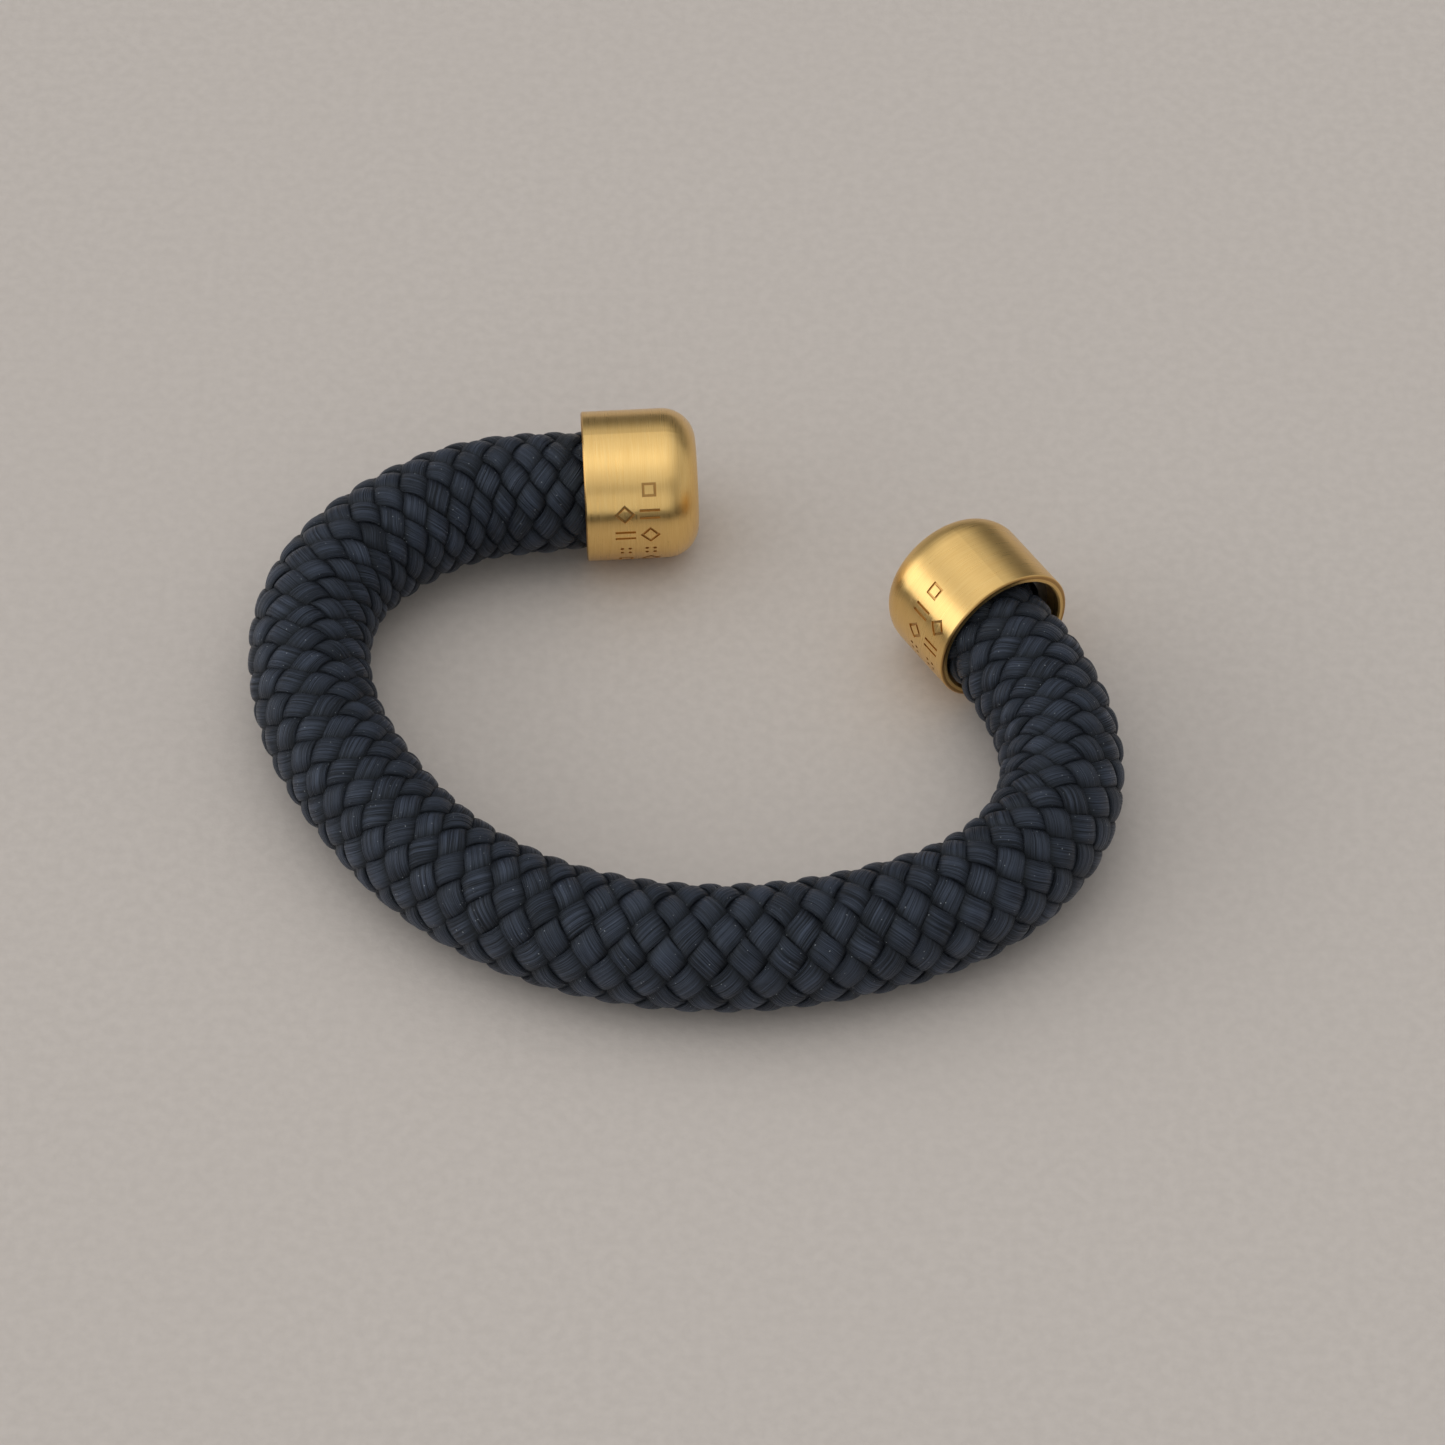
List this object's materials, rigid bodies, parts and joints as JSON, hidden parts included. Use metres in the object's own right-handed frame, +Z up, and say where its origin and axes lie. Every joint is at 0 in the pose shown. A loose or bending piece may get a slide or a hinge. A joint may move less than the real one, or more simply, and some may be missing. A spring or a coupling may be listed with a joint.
{
  "type": "rope cuff bracelet",
  "caption": "Open C-shaped cuff bracelet of braided rope round a spring wire, with a rounded metal cap on each end; the arms flex apart to pass over a wrist.",
  "frame": {"origin": "on the table under the middle of the bracelet's box", "axes": "+Z up from the table, +X along the long way of the C, +Y towards the gap between the caps"},
  "size_m": [0.0844, 0.0723, 0.0149],
  "materials": {
    "braid": "dark navy multifilament braid with a soft sheen",
    "core_yarn": "parallel yarn bundle",
    "spring_wire": "drawn wire",
    "binding_tape": "woven tape",
    "adhesive": "cured clear-dark glue",
    "cap_metal": "satin gold plate, brushed round the cap"
  },
  "bodies": {
    "back": {"cover_back": "braid", "core_back": "core_yarn", "wire_back": "spring_wire"},
    "left_arm": {"cover_left": "braid", "core_left": "core_yarn", "wire_left": "spring_wire", "binding_left": "binding_tape", "adhesive_left": "adhesive", "cap_left": "cap_metal"},
    "right_arm": {"cover_right": "braid", "core_right": "core_yarn", "wire_right": "spring_wire", "binding_right": "binding_tape", "adhesive_right": "adhesive", "cap_right": "cap_metal"}
  },
  "joints": [
    {"name": "left_flex", "type": "hinge", "parent": "back", "child": "left_arm", "pos_m": [-0.03615, 0.00715, 0.00656], "axis": [-0.0121, -0.0247, 0.9996], "range_deg": [-6, 14], "stiffness_Nm_per_rad": 0.35},
    {"name": "right_flex", "type": "hinge", "parent": "back", "child": "right_arm", "pos_m": [0.0362, -0.00805, 0.00705], "axis": [0.0121, 0.0247, -0.9996], "range_deg": [-6, 14], "stiffness_Nm_per_rad": 0.35}
  ]
}
